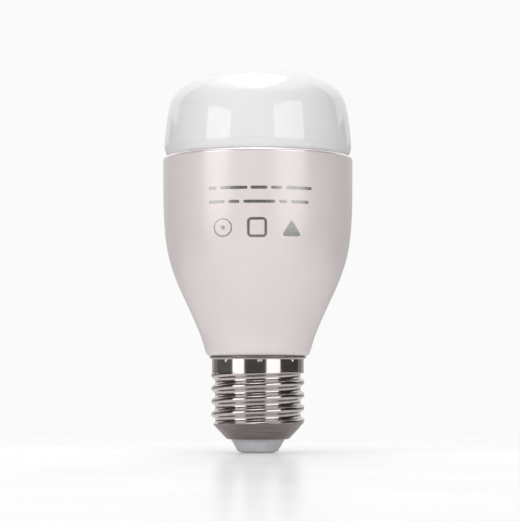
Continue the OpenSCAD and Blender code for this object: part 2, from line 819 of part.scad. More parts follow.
module wireless_antenna() {
    trace = 0.6;
    turns = 5;
    step = 2.4;
    color("gold")
        translate([-step * turns / 2, module_y - 0.06, 81.5])
        for (i = [0:turns]) {
            translate([i * step - trace / 2, 0, 0]) cube([trace, 0.06, 5]);
            if (i < turns)
                translate([i * step - trace / 2, 0, i % 2 == 0 ? 5 - trace : 0])
                    cube([step + trace, 0.06, trace]);
        }
}

module wireless_header() {
    inner_y = module_y + module_t;
    color("dimgray")
        translate([-6.3, inner_y, 64.6])
        cube([12.6, board_back_y - inner_y, 2.4]);
}

// ---- Wires ----

module live_wire() {
    color("firebrick") wire(live_route, wire_r);
}

module neutral_wire() {
    color("royalblue") wire(neutral_route, wire_r);
}

diffuser_dome();
dome_sealant();
housing_shell();
screw_cap_shell();
cap_insulator();
centre_contact();
driver_casing();
heat_sink_cup();
heat_spreader();
thermal_pad();
led_board();
led_packages();
warm_phosphor();
cool_phosphor();
led_board_screws();
board_socket();
board_pins();
pin_strip();
driver_board();
input_capacitor();
input_capacitor_sleeve();
output_capacitor();
output_capacitor_sleeve();
supply_capacitor();
film_capacitor();
safety_capacitor();
varistor();
fusible_resistor();
line_inductor_core();
line_inductor_winding();
transformer_core();
transformer_bobbin();
transformer_winding();
bridge_rectifier();
driver_chips();
diodes();
chip_resistors();
chip_capacitors();
component_leads();
solder_joints();
wireless_board();
wireless_shield();
wireless_antenna();
wireless_header();
live_wire();
neutral_wire();
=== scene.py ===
"""Looks of the smart light bulb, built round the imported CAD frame: metres, Z up, contact at the origin."""
import json
import math

import bpy
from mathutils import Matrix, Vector


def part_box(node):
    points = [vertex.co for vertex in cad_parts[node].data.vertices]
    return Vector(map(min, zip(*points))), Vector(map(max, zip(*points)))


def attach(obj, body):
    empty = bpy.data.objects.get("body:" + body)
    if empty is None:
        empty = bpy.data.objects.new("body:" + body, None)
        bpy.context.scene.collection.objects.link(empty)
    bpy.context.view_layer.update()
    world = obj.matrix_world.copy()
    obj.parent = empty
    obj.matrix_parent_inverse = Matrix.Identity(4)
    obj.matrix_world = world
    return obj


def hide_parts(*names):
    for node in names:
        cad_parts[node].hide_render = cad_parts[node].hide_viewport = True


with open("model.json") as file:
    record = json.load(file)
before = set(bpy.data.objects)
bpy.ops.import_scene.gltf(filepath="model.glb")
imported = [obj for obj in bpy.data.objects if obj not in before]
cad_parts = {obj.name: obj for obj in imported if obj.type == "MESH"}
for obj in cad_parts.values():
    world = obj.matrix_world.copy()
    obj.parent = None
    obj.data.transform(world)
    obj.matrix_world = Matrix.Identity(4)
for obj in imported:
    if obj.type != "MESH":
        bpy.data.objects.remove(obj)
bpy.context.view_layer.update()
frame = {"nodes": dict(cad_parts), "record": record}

MM = 0.001
NODES = frame["nodes"]
SLOT_COLOURS = {m["slot"]: m["base_color"] for m in frame["record"]["materials"]}
NODE_SLOTS = {p["node"]: p["material_slot"] for p in frame["record"]["subparts"]}


def box_mm(node):
    """A CAD node's lowest and highest corner in millimetres."""
    low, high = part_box(node)
    return low / MM, high / MM


# ---------------------------------------------------------------- sizes, mm and degrees
dome_low, dome_high = box_mm("diffuser_dome")
housing_low, housing_high = box_mm("housing_shell")
cap_low, cap_high = box_mm("screw_cap_shell")
contact_high = box_mm("centre_contact")[1]

# Points nearer than this are one point, and an outline that is split has no stretch longer than the step.
SAME_POINT, OUTLINE_STEP = 1e-4, 0.5
# Edges that bend more than this stay sharp, more on the cap because its thread is rolled.
SHARP_A, CAP_SHARP_A = 32.0, 38.0

# Housing, from its foot up to its rim
HOUSING_R = housing_high.x
HOUSING_Z = housing_low.z
RIM_Z = housing_high.z
HOUSING_WALL = 1.3
FOOT_ROUND, FOOT_ROUND_R, FOOT_SLOPE_A = 1.3, 13.44, 18.0
WAIST = (20.9, 43.6)
WAIST_SLOPE = 0.469
# How far each end's direction carries along the curves that meet at the waist
FOOT_PULL, WAIST_PULL_DOWN, WAIST_PULL_UP, SIDE_PULL_Z = 4.0, 12.0, 11.2, 59.3
SIDE_Z, SIDE_TOP_Z = 80.0, 81.5
RIM_ROUND, RIM_BEVEL = 0.9, 0.05
HOUSING_HOLE_R = 12.6
HOUSING_FLOOR_Z = HOUSING_Z + 1.5
INSIDE_R, INSIDE_RISE = 13.0, 0.6

# Dome: a foot in the housing, a tucked-in edge, a long side, a shoulder and a crown
BULB_H = dome_high.z
DOME_R = dome_high.x
DOME_WALL = 1.4
EDGE_Z = RIM_Z + 0.12
EDGE_R, EDGE_A = 4.8, 2.9
SIDE_R, SIDE_CENTRE_Z = 78.0, RIM_Z - 0.6
SHOULDER_R, LEAN = 9.4, 11.0
DOME_FOOT_Z = dome_low.z
DOME_FOOT_R = DOME_R - 1.5
DOME_FOOT_WALL, DOME_FOOT_BEVEL = 1.25, 0.12
DOME_FOOT_TOP_Z, DOME_INSIDE_Z = EDGE_Z - 0.1, EDGE_Z + 0.6

# Screw cap: cone, rolled thread, skirt with crimps, turned-out lip
CAP_LIP_R = cap_high.x
CAP_TOP_Z = cap_high.z
CAP_BOTTOM_Z = cap_low.z
SHEET = 0.35
CREST_R = 13.1
SKIRT_R, SKIRT_Z, SKIRT_TOP_Z = 12.95, 22.9, 26.2
PITCH = 3.629
ROUND = 1.025
THREAD_DEPTH = 2 * (ROUND - math.sqrt(ROUND ** 2 - (PITCH / 4) ** 2))
THREAD_Z = 8.95
BLEND_Z, BLEND_END_Z = 22.0, 22.5
RUNOUT_A, RUNOUT_SWEEP = 1080.0, 120.0
CONE_Z, CONE_R, CONE_SLOPE = 3.95, 8.85, 0.945
CONE_TOP_Z, CONE_INSIDE_Z = 4.15, 4.45
CONE_SATIN_Z = 9.0
CRIMPS, CRIMP_FIRST_A = 8, -87.5
CRIMP_Z, CRIMP_R, CRIMP_CENTRE_R, CRIMP_REACH = 25.75, 0.75, 13.45, 0.6
CAP_HOLE_R = 8.0
CAP_MOUTH_R = 12.6

# End contact and its stem
CONTACT_R = contact_high.x
CONTACT_T = 0.3
CONTACT_TOP_Z = contact_high.z
STEM_R, STEM_HOLE_R, STEM_HOLE_Z = 1.64, 1.0, 1.0


# ---------------------------------------------------------------- outlines
def arc(cx, cz, r, a0, a1, n):
    """Points along an arc, n steps, angles in degrees."""
    steps = [a0 + (a1 - a0) * i / n for i in range(n + 1)]
    return [(cx + r * math.cos(math.radians(a)), cz + r * math.sin(math.radians(a))) for a in steps]


def bezier(p0, p1, p2, p3, n):
    """Points along a cubic curve, n steps."""
    points = []
    for i in range(n + 1):
        t = i / n
        w = ((1 - t) ** 3, 3 * t * (1 - t) ** 2, 3 * t * t * (1 - t), t ** 3)
        points.append(tuple(sum(k * p[axis] for k, p in zip(w, (p0, p1, p2, p3))) for axis in (0, 1)))
    return points


def joined(*parts):
    """Outline parts end to end, with repeated points left out."""
    points = []
    for part in parts:
        for p in part:
            if not points or math.dist(points[-1], p) > SAME_POINT:
                points.append(tuple(p))
    return points


def split(points):
    """The same outline in short stretches."""
    out = [points[0]]
    for a, b in zip(points, points[1:]):
        n = max(1, math.ceil(math.dist(a, b) / OUTLINE_STEP))
        out += [(a[0] + (b[0] - a[0]) * i / n, a[1] + (b[1] - a[1]) * i / n) for i in range(1, n + 1)]
    return out


def dome_curve(inset, fine):
    """The dome's outside, or the same curve inset by the wall, from its edge to the crown."""
    side_cx = DOME_R - SIDE_R
    lean, edge_a = math.radians(LEAN), math.radians(EDGE_A)
    shoulder_cx = side_cx + (SIDE_R - SHOULDER_R) * math.cos(lean)
    shoulder_cz = SIDE_CENTRE_Z + (SIDE_R - SHOULDER_R) * math.sin(lean)
    rise = BULB_H - shoulder_cz
    crown_r = (shoulder_cx ** 2 + rise ** 2 - SHOULDER_R ** 2) / (2 * (rise - SHOULDER_R))
    crown_cz = BULB_H - crown_r
    crown_a = math.degrees(math.atan2(shoulder_cz - crown_cz, shoulder_cx))
    edge_cx = side_cx + (SIDE_R - EDGE_R) * math.cos(edge_a)
    edge_cz = SIDE_CENTRE_Z + (SIDE_R - EDGE_R) * math.sin(edge_a)
    first_a = math.degrees(math.asin((EDGE_Z - edge_cz) / EDGE_R))
    return joined(
        arc(edge_cx, edge_cz, EDGE_R - inset, first_a, EDGE_A, 12 * fine),
        arc(side_cx, SIDE_CENTRE_Z, SIDE_R - inset, EDGE_A, LEAN, 8 * fine),
        arc(shoulder_cx, shoulder_cz, SHOULDER_R - inset, LEAN, crown_a, 16 * fine),
        arc(0, crown_cz, crown_r - inset, crown_a, 90, 16 * fine)[:-1],
        [(0, BULB_H - inset)],
    )


def dome_outline():
    """The dome's foot and outside, then its inside back to the foot."""
    foot_in = DOME_FOOT_R - DOME_FOOT_WALL
    foot = [(DOME_FOOT_R - DOME_FOOT_BEVEL, DOME_FOOT_Z), (DOME_FOOT_R, DOME_FOOT_Z + DOME_FOOT_BEVEL),
            (DOME_FOOT_R, DOME_FOOT_TOP_Z)]
    return joined(foot, dome_curve(0, 2), dome_curve(DOME_WALL, 1)[::-1],
                  [(foot_in, DOME_INSIDE_Z), (foot_in, DOME_FOOT_Z)])


def housing_curve(fine=1):
    """The housing's outside from the foot up to the straight side."""
    slope = math.tan(math.radians(FOOT_SLOPE_A))
    foot = arc(FOOT_ROUND_R, HOUSING_Z + FOOT_ROUND, FOOT_ROUND, -90, -FOOT_SLOPE_A, 10 * fine)
    start = foot[-1]
    leaving = (start[0] + FOOT_PULL * slope, start[1] + FOOT_PULL)
    waist_in = (WAIST[0] - WAIST_PULL_DOWN * WAIST_SLOPE, WAIST[1] - WAIST_PULL_DOWN)
    waist_out = (WAIST[0] + WAIST_PULL_UP * WAIST_SLOPE, WAIST[1] + WAIST_PULL_UP)
    lower = bezier(start, leaving, waist_in, WAIST, 18 * fine)
    upper = bezier(WAIST, waist_out, (HOUSING_R, SIDE_PULL_Z), (HOUSING_R, SIDE_Z), 36 * fine)
    return joined(foot, lower, upper)


def housing_outline():
    """The housing's outside and rounded rim, then its inside and the floor round the cap's hole."""
    outer = housing_curve()
    rim_in = HOUSING_R - HOUSING_WALL
    rim = joined([(HOUSING_R, SIDE_Z), (HOUSING_R, SIDE_TOP_Z)],
                 arc(HOUSING_R - RIM_ROUND, RIM_Z - RIM_ROUND, RIM_ROUND, 0, 90, 12),
                 [(rim_in + RIM_BEVEL, RIM_Z), (rim_in, RIM_Z - RIM_BEVEL)])
    inner = [(r - HOUSING_WALL, z) for r, z in outer[::-2]
             if z > HOUSING_FLOOR_Z + INSIDE_RISE and r - HOUSING_WALL > INSIDE_R]
    floor = [(INSIDE_R, HOUSING_FLOOR_Z), (HOUSING_HOLE_R, HOUSING_FLOOR_Z), (HOUSING_HOLE_R, HOUSING_Z)]
    return joined(outer, rim, inner, floor)


def insulator_outline():
    """The plug under the cap: its face round the contact, its flank, and its upper side inside the cap."""
    hole_r, gap = 1.7, SHEET + 0.12
    face = joined([(hole_r, CONTACT_T)], arc(5.25, 0.85, 0.55, -90, -30, 8))
    shoulder = bezier((7.3, 3.25), (7.55, 3.7), (7.95, 3.9), (7.95, 4.35), 8)
    in_cone = [(cone_at(z) - gap, z) for z in (4.6, 7.0)]
    upper = [(11.3, 7.6), (9.4, 7.6), (8, 5.8), (3.2, 5.8), (3.2, 7.4), (hole_r, 7.4)]
    return split(joined(face, shoulder, in_cone, upper))


def contact_outline():
    """The end contact: a dimple, a flat face with a pressed ring, a turned-up edge and the stem."""
    dimple = [(0, 0.34), (0.45, 0.34), (0.75, 0.28), (1.0, 0.12), (1.15, 0.04), (1.4, 0)]
    pressed_ring = [(3.0, 0), (3.1, 0.06), (3.25, 0.1), (3.4, 0.06), (3.5, 0)]
    edge = [(4.4, 0), (4.65, 0.04), (CONTACT_R - 0.03, 0.13), (CONTACT_R, 0.2), (CONTACT_R - 0.06, CONTACT_T)]
    stem = [(STEM_R, CONTACT_T), (STEM_R, CONTACT_TOP_Z), (STEM_HOLE_R, CONTACT_TOP_Z),
            (STEM_HOLE_R, STEM_HOLE_Z), (0, STEM_HOLE_Z)]
    return split(joined(dimple, pressed_ring, edge, stem))


def radius_at(points, z):
    """The outline's radius at a height."""
    for (r0, z0), (r1, z1) in zip(points, points[1:]):
        if min(z0, z1) <= z <= max(z0, z1) and z0 != z1:
            return r0 + (r1 - r0) * (z - z0) / (z1 - z0)
    return points[-1][0]


# ---------------------------------------------------------------- meshes
def finish_mesh(name, vertices, faces, sharp=SHARP_A):
    """A smooth-shaded mesh object in metres from vertices in millimetres, its normals pointing out."""
    mesh = bpy.data.meshes.new(name)
    mesh.from_pydata([tuple(c * MM for c in v) for v in vertices], [], faces)
    mesh.validate()
    mesh.shade_smooth()
    mesh.set_sharp_from_angle(angle=math.radians(sharp))
    mesh.update()
    piece = bpy.data.objects.new(name, mesh)
    bpy.context.scene.collection.objects.link(piece)
    return piece


def ring_grid(rings, loop):
    """Vertices and faces of a stack of rings. A ring is a list of points, or one point on the axis."""
    vertices, starts = [], []
    for ring in rings:
        starts.append((len(vertices), len(ring)))
        vertices += ring
    faces = []
    pairs = list(zip(starts, starts[1:])) + ([(starts[-1], starts[0])] if loop else [])
    for (a, na), (b, nb) in pairs:
        n = max(na, nb)
        for i in range(n if n > 1 else 0):
            j = (i + 1) % n
            if na == 1:
                faces.append((a, b + j, b + i))
            elif nb == 1:
                faces.append((a + i, a + j, b))
            else:
                faces.append((a + i, a + j, b + j, b + i))
    return vertices, faces


def turned(name, outline, segments):
    """A closed outline of (radius, height) turned about Z, anticlockwise so that its normals point out."""
    angles = [2 * math.pi * i / segments for i in range(segments)]
    rings = [[(0.0, 0.0, z)] if r < SAME_POINT else [(r * math.cos(a), r * math.sin(a), z) for a in angles]
             for r, z in outline]
    return finish_mesh(name, *ring_grid(rings, loop=True))


def smoothstep(a, b, x):
    """0 up to a, 1 from b, and a smooth rise between."""
    t = min(1.0, max(0.0, (x - a) / (b - a)))
    return t * t * (3 - 2 * t)


def groove(s):
    """How far the thread lies under its crest, s along the axis from the crest."""
    if s < PITCH / 4:
        return ROUND - math.sqrt(ROUND ** 2 - s * s)
    return THREAD_DEPTH - ROUND + math.sqrt(ROUND ** 2 - (PITCH / 2 - s) ** 2)


def cone_at(z):
    """Outside radius of the cap's cone at a height."""
    return CONE_R + CONE_SLOPE * (z - CONE_Z)


def thread_r(angle, z):
    """Outside radius of the rolled cap at an angle in degrees and a height."""
    turn = (z - THREAD_Z) / PITCH - angle / 360
    index = math.floor(turn)
    part = turn - index
    depth = groove(PITCH * min(part, 1 - part))
    depth *= 1 - smoothstep(RUNOUT_A, RUNOUT_A + RUNOUT_SWEEP, 360 * index + angle)
    to_skirt = smoothstep(BLEND_Z, BLEND_END_Z, z)
    wall = (CREST_R - depth) * (1 - to_skirt) + SKIRT_R * to_skirt
    return min(cone_at(z), wall)


def crimp_depth(angle, z):
    """How far a punched crimp pushes the skirt in."""
    sector = 360 / CRIMPS
    off = math.radians((angle - CRIMP_FIRST_A + sector / 2) % sector - sector / 2) * SKIRT_R
    reach = CRIMP_R ** 2 - off ** 2 - (z - CRIMP_Z) ** 2
    return max(0.0, SKIRT_R - (CRIMP_CENTRE_R - math.sqrt(reach))) if reach > 0 else 0.0


def cap_angles():
    """Angles round the cap, closer together at each crimp."""
    sector, half_dense, dense, plain = 360 / CRIMPS, 4.0, 14, 26
    angles = []
    for k in range(CRIMPS):
        middle = CRIMP_FIRST_A + sector * k
        angles += [middle - half_dense + 2 * half_dense * i / dense for i in range(dense)]
        gap = sector - 2 * half_dense
        angles += [middle + half_dense + gap * i / plain for i in range(plain)]
    return [a % 360 for a in angles]


def heights(low, high, step):
    """Even heights from low to high, about step apart."""
    n = max(1, round((high - low) / step))
    return [low + (high - low) * i / n for i in range(n + 1)]


def cap_piece(name):
    """The pressed cap: curled edge, cone, rolled thread, crimped skirt, turned-out lip and inside."""
    angles = cap_angles()

    def ring(radius_of, z):
        return [(radius_of(a, z) * math.cos(math.radians(a)), radius_of(a, z) * math.sin(math.radians(a)), z)
                for a in angles]

    def plain(points):
        return [ring(lambda a, z, r=r: r, z) for r, z in points]

    def crimped(points):
        return [ring(lambda a, z, r=r: r - crimp_depth(a, z), z) for r, z in points]

    bottom, top = CAP_BOTTOM_Z, CAP_TOP_Z
    curled_edge = [(CAP_HOLE_R, bottom + 0.35), (CAP_HOLE_R, bottom + 0.05), (CAP_HOLE_R + 0.06, bottom),
                   (8.4, bottom), (8.62, bottom + 0.05), (8.85, bottom + 0.17)]
    skirt_heights = (heights(SKIRT_Z, CRIMP_Z - CRIMP_REACH - 0.1, 0.5)
                     + heights(CRIMP_Z - CRIMP_REACH, SKIRT_TOP_Z, 0.1))
    flare = [(12.97, 26.27), (13.02, 26.34)]
    lip = [(13.1, 26.45), (13.3, top - 0.57), (13.5, top - 0.52), (CAP_LIP_R - 0.06, top - 0.42),
           (CAP_LIP_R, top - 0.26), (CAP_LIP_R - 0.05, top - 0.1), (CAP_LIP_R - 0.17, top)]
    mouth = [(CAP_MOUTH_R + 0.12, top), (CAP_MOUTH_R + 0.02, top - 0.1), (CAP_MOUTH_R, top - 0.7)]
    inside_skirt = heights(CRIMP_Z - CRIMP_REACH, SKIRT_TOP_Z, 0.22)[::-1]
    inside_thread = heights(CONE_INSIDE_Z, SKIRT_Z, 0.5)[::-1]

    rings = plain(curled_edge)
    rings += [ring(thread_r, z) for z in heights(CONE_TOP_Z, BLEND_END_Z + 0.1, PITCH / 24)]
    rings += crimped([(SKIRT_R, z) for z in skirt_heights] + flare)
    rings += plain(lip + mouth)
    rings += crimped([(SKIRT_R - SHEET, z) for z in inside_skirt])
    rings += [ring(lambda a, z: thread_r(a, z) - SHEET, z) for z in inside_thread]
    vertices, faces = ring_grid(rings, loop=True)
    return finish_mesh(name, vertices, faces, sharp=CAP_SHARP_A)


# The ink stands this far out of the housing and reaches this far in.
INK_LIFT, INK_SINK = 0.018, 0.02


def film_piece(name, strips):
    """Ink hugging the housing: closed slabs, each a run of columns of points (x, z) seen from the front."""
    wall = housing_curve(2)

    def on_wall(p, off):
        r = radius_at(wall, p[1]) + off
        return (p[0], -math.sqrt(r * r - p[0] * p[0]), p[1])

    vertices, faces = [], []
    for columns, closed in strips:
        start, m, n = len(vertices), len(columns[0]), len(columns)
        for column in columns:
            vertices += [on_wall(p, INK_LIFT) for p in column]
            vertices += [on_wall(p, -INK_SINK) for p in reversed(column)]
        loop = 2 * m
        for i in range(n if closed else n - 1):
            a, b = start + loop * i, start + loop * ((i + 1) % n)
            faces += [(a + k, a + (k + 1) % loop, b + (k + 1) % loop, b + k) for k in range(loop)]
        if not closed:
            end = start + loop * (n - 1)
            for k in range(m - 1):
                corners = (k, k + 1, loop - 2 - k, loop - 1 - k)
                faces += [tuple(start + c for c in reversed(corners)), tuple(end + c for c in corners)]
    return finish_mesh(name, vertices, faces)


def bar(x0, x1, z, height):
    """A bar with round ends, as pairs of points, and False because it isn't a closed run."""
    r, ends, step, least = height / 2, 5, 0.35, 0.03
    xs = [x0 + r * (1 - math.cos(math.pi / 2 * i / ends)) for i in range(ends)]
    n = max(1, round((x1 - x0 - height) / step))
    xs += [x0 + r + (x1 - x0 - height) * i / n for i in range(n + 1)]
    xs += [x1 - r * (1 - math.cos(math.pi / 2 * i / ends)) for i in range(ends - 1, -1, -1)]
    pairs = []
    for x in xs:
        reach = min(r, x - x0, x1 - x)
        half = max(least, math.sqrt(max(0.0, r * r - (r - reach) ** 2)))
        pairs.append(((x, z + half), (x, z - half)))
    return pairs, False


def stroke(points, width):
    """A line of even width round a closed run of points."""
    pairs, n = [], len(points)
    for i, p in enumerate(points):
        before, after = points[i - 1], points[(i + 1) % n]
        dx, dz = after[0] - before[0], after[1] - before[1]
        size = math.hypot(dx, dz)
        nx, nz = dz / size * width / 2, -dx / size * width / 2
        pairs.append(((p[0] + nx, p[1] + nz), (p[0] - nx, p[1] - nz)))
    return pairs, True


def filled(outline):
    """A convex outline filled in, as a run of upright columns."""
    step, rows, margin = 0.25, 12, 0.02
    low, high = min(p[0] for p in outline), max(p[0] for p in outline)
    edges = list(zip(outline, outline[1:] + outline[:1]))
    n = max(4, round((high - low) / step))
    columns = []
    for i in range(n + 1):
        x = low + margin + (high - low - 2 * margin) * i / n
        zs = [a[1] + (b[1] - a[1]) * (x - a[0]) / (b[0] - a[0]) for a, b in edges
              if min(a[0], b[0]) <= x < max(a[0], b[0])]
        columns.append([(x, max(zs) + (min(zs) - max(zs)) * k / rows) for k in range(rows + 1)])
    return columns, False


def rounded_shape(corners, radius):
    """A convex polygon, corners anticlockwise, with its corners rounded and its sides split."""
    points, count, n = [], len(corners), 6
    for i, c in enumerate(corners):
        a, b = corners[i - 1], corners[(i + 1) % count]
        ua = ((a[0] - c[0]) / math.dist(a, c), (a[1] - c[1]) / math.dist(a, c))
        ub = ((b[0] - c[0]) / math.dist(b, c), (b[1] - c[1]) / math.dist(b, c))
        half = math.acos(ua[0] * ub[0] + ua[1] * ub[1]) / 2
        back, out = radius / math.tan(half), radius / math.sin(half)
        middle = ((ua[0] + ub[0]) / 2, (ua[1] + ub[1]) / 2)
        size = math.hypot(*middle)
        centre = (c[0] + middle[0] / size * out, c[1] + middle[1] / size * out)
        p, q = (c[0] + ua[0] * back, c[1] + ua[1] * back), (c[0] + ub[0] * back, c[1] + ub[1] * back)
        a0 = math.atan2(p[1] - centre[1], p[0] - centre[0])
        a1 = math.atan2(q[1] - centre[1], q[0] - centre[0])
        while a1 < a0:
            a1 += 2 * math.pi
        points += arc(*centre, radius, math.degrees(a0), math.degrees(a1), n)
    return split(points + [points[0]])[:-1]


# ---------------------------------------------------------------- materials
# A colour mix node's sockets go by number, since its inputs of other kinds share their names.
MIX_A, MIX_B, MIX_RESULT = 6, 7, 2


class Finish:
    """One procedural material: a Principled shader and the patterns that feed it, all in object space."""

    def __init__(self, name, slot, **sockets):
        self.material = bpy.data.materials.new(name)
        self.material.use_nodes = True
        self.tree = self.material.node_tree
        self.tree.nodes.clear()
        self.shader = self.tree.nodes.new("ShaderNodeBsdfPrincipled")
        self.output = self.tree.nodes.new("ShaderNodeOutputMaterial")
        self.tree.links.new(self.shader.outputs["BSDF"], self.output.inputs["Surface"])
        self.where = self.tree.nodes.new("ShaderNodeTexCoord").outputs["Object"]
        self.base = tuple(SLOT_COLOURS.get(slot, (0.8, 0.8, 0.8))[:3])
        self.normal = None
        for key, value in sockets.items():
            self.shader.inputs[key.replace("_", " ")].default_value = value

    def node(self, kind, links=(), **values):
        """A new node: values go to its settings or, by name, to its inputs, and links to its inputs."""
        made = self.tree.nodes.new(kind)
        for key, value in values.items():
            if hasattr(made, key):
                setattr(made, key, value)
            else:
                made.inputs[key.replace("_", " ")].default_value = value
        for name, source in dict(links).items():
            self.tree.links.new(source, made.inputs[name])
        return made

    def place(self, stretch=(1, 1, 1), turn=(0, 0, 0)):
        """Object coordinates, scaled along each axis by stretch and turned about them in degrees."""
        if stretch == (1, 1, 1) and turn == (0, 0, 0):
            return self.where
        made = self.node("ShaderNodeMapping", {"Vector": self.where})
        made.inputs["Scale"].default_value = stretch
        made.inputs["Rotation"].default_value = [math.radians(a) for a in turn]
        return made.outputs["Vector"]

    def noise(self, size, detail, stretch=(1, 1, 1), roughness=0.55, distortion=0.0):
        """Soft noise whose features are about size millimetres across."""
        made = self.node("ShaderNodeTexNoise", {"Vector": self.place(stretch)}, Scale=1 / (size * MM),
                         Detail=detail, Roughness=roughness, Distortion=distortion)
        return made.outputs["Fac"]

    def cells(self, size, feature="F1", output="Distance"):
        """Cells about size millimetres across."""
        made = self.node("ShaderNodeTexVoronoi", {"Vector": self.where}, feature=feature,
                         Scale=1 / (size * MM))
        return made.outputs[output]

    def specks(self, size):
        """A random grey for each cell."""
        return self.node("ShaderNodeRGBToBW", {"Color": self.cells(size, output="Color")}).outputs["Val"]

    def bands(self, pitch, direction, distortion=0.0):
        """Bands along an axis, one every pitch millimetres."""
        made = self.node("ShaderNodeTexWave", {"Vector": self.where}, wave_type="BANDS",
                         bands_direction=direction, Scale=math.pi / 10 / (pitch * MM), Distortion=distortion)
        return made.outputs["Fac"]

    def length(self, vector):
        """A vector's length, in metres for a place."""
        return self.node("ShaderNodeVectorMath", {"Vector": vector}, operation="LENGTH").outputs["Value"]

    def ranged(self, value, low, high, start=0.3, end=0.7):
        """value between start and end, taken to between low and high."""
        made = self.node("ShaderNodeMapRange", {"Value": value}, From_Min=start, From_Max=end,
                         To_Min=low, To_Max=high)
        return made.outputs["Result"]

    def maths(self, operation, a, b):
        made = self.node("ShaderNodeMath", operation=operation)
        for socket, value in zip(made.inputs, (a, b)):
            if isinstance(value, (int, float)):
                socket.default_value = value
            else:
                self.tree.links.new(value, socket)
        return made.outputs["Value"]

    def weighed(self, a, share_a, b, share_b):
        """The sum of two patterns, each times its share."""
        return self.maths("ADD", self.maths("MULTIPLY", a, share_a), self.maths("MULTIPLY", b, share_b))

    def blended(self, factor, a, b):
        """A colour between a and b, which are colours or sockets."""
        made = self.node("ShaderNodeMix", {"Factor": factor}, data_type="RGBA")
        for socket, value in ((made.inputs[MIX_A], a), (made.inputs[MIX_B], b)):
            if isinstance(value, (tuple, list)):
                socket.default_value = (*value[:3], 1.0)
            else:
                self.tree.links.new(value, socket)
        return made.outputs[MIX_RESULT]

    def tint(self, pattern, dark, light, start=0.3, end=0.7):
        """Colours the shader with the base colour, between dark times and light times itself by a pattern."""
        darker, lighter = (tuple(min(1.0, c * times) for c in self.base) for times in (dark, light))
        colour = self.blended(self.ranged(pattern, 0.0, 1.0, start, end), darker, lighter)
        self.paint(colour)
        return colour

    def paint(self, colour):
        self.tree.links.new(colour, self.shader.inputs["Base Color"])

    def rough(self, pattern, low, high):
        self.tree.links.new(self.ranged(pattern, low, high), self.shader.inputs["Roughness"])

    def bump(self, pattern, height):
        """Adds relief height millimetres deep."""
        made = self.node("ShaderNodeBump", {"Height": pattern}, Distance=height * MM, Strength=1.0)
        if self.normal is not None:
            self.tree.links.new(self.normal, made.inputs["Normal"])
        self.normal = made.outputs["Normal"]
        self.tree.links.new(self.normal, self.shader.inputs["Normal"])


def opal_plastic(slot):
    """Milky plastic, glossy and a little wavy."""
    f = Finish("opal_plastic", slot, IOR=1.47, Coat_Weight=0.24, Coat_Roughness=0.03,
               Subsurface_Weight=0.3, Subsurface_Scale=0.8 * MM)
    f.shader.inputs["Subsurface Radius"].default_value = (1.0, 0.95, 0.9)
    f.base = (0.915, 0.915, 0.928)
    f.tint(f.noise(9.0, 4), 0.985, 1.0)
    f.rough(f.noise(2.5, 4), 0.03, 0.075)
    f.bump(f.noise(5.0, 1.5), 0.0035)
    return f.material


def pearl_paint(slot):
    """Satin lacquer with fine flakes over an even colour, and a faint waviness."""
    f = Finish("pearl_paint", slot, IOR=1.5, Metallic=0.06, Coat_Weight=0.13, Coat_Roughness=0.2)
    f.base = (0.845, 0.77, 0.762)
    flakes = f.specks(0.09)
    f.tint(f.weighed(flakes, 0.25, f.noise(14.0, 4), 0.75), 0.965, 1.02)
    f.rough(f.noise(0.5, 3), 0.282, 0.315)
    f.bump(f.noise(1.1, 2), 0.0009)
    f.bump(flakes, 0.0003)
    return f.material


def painted_highlight_rim(slot):
    """The housing's rim: glossier lacquer with a lighter base colour, a painted highlight along the rounded
    edge.
    """
    f = Finish("painted_highlight_rim", slot, Metallic=0.45, Coat_Weight=0.6, Coat_Roughness=0.12)
    f.base = (0.95, 0.9, 0.89)
    f.tint(f.noise(2.0, 3), 0.98, 1.03)
    f.rough(f.noise(0.8, 3), 0.2, 0.26)
    f.bump(f.noise(0.6, 2), 0.0008)
    return f.material


NICKEL = (0.49, 0.45, 0.438)
# The cone's and the lip's colour is the plating darkened, a painted shade.
SHADED_NICKEL = (0.262, 0.226, 0.219)


def nickel(slot):
    """Bright plating with fine rolling lines, a thin patina and a slight unevenness."""
    f = Finish("polished_nickel", slot, Metallic=1.0)
    f.base = NICKEL
    turned_lines = f.noise(1.6, 5, stretch=(0.05, 0.05, 14), roughness=0.7)
    patina = f.noise(3.2, 5, roughness=0.65)
    f.tint(patina, 0.9, 1.03)
    f.rough(f.weighed(turned_lines, 0.6, patina, 0.4), 0.07, 0.17)
    f.bump(turned_lines, 0.0009)
    f.bump(f.noise(4.5, 2), 0.006)
    return f.material


def shaded_satin_nickel(slot):
    """The cone below the thread and the cap's lip: satin, darker than the thread's plating as painted shade,
    and streaked lighter and darker along the lines of its rolling.
    """
    f = Finish("shaded_satin_nickel", slot, Metallic=1.0)
    f.base = SHADED_NICKEL
    streaks = f.noise(2.6, 4, stretch=(0.22, 0.22, 5), roughness=0.6)
    f.tint(streaks, 0.78, 1.16, 0.35, 0.65)
    f.rough(streaks, 0.285, 0.5)
    f.bump(streaks, 0.007)
    f.bump(f.noise(0.9, 3), 0.002)
    return f.material


def insulator(slot):
    """Satin moulded plastic with flow swirls."""
    f = Finish("insulator_plastic", slot, IOR=1.52, Subsurface_Weight=0.15, Subsurface_Scale=0.5 * MM)
    f.base = (0.69, 0.68, 0.72)
    swirl = f.noise(2.4, 5, stretch=(1, 1, 1.6), distortion=0.8)
    f.tint(swirl, 0.88, 1.05)
    f.rough(f.noise(0.6, 4), 0.28, 0.46)
    f.bump(f.noise(0.35, 3), 0.004)
    f.bump(swirl, 0.006)
    return f.material


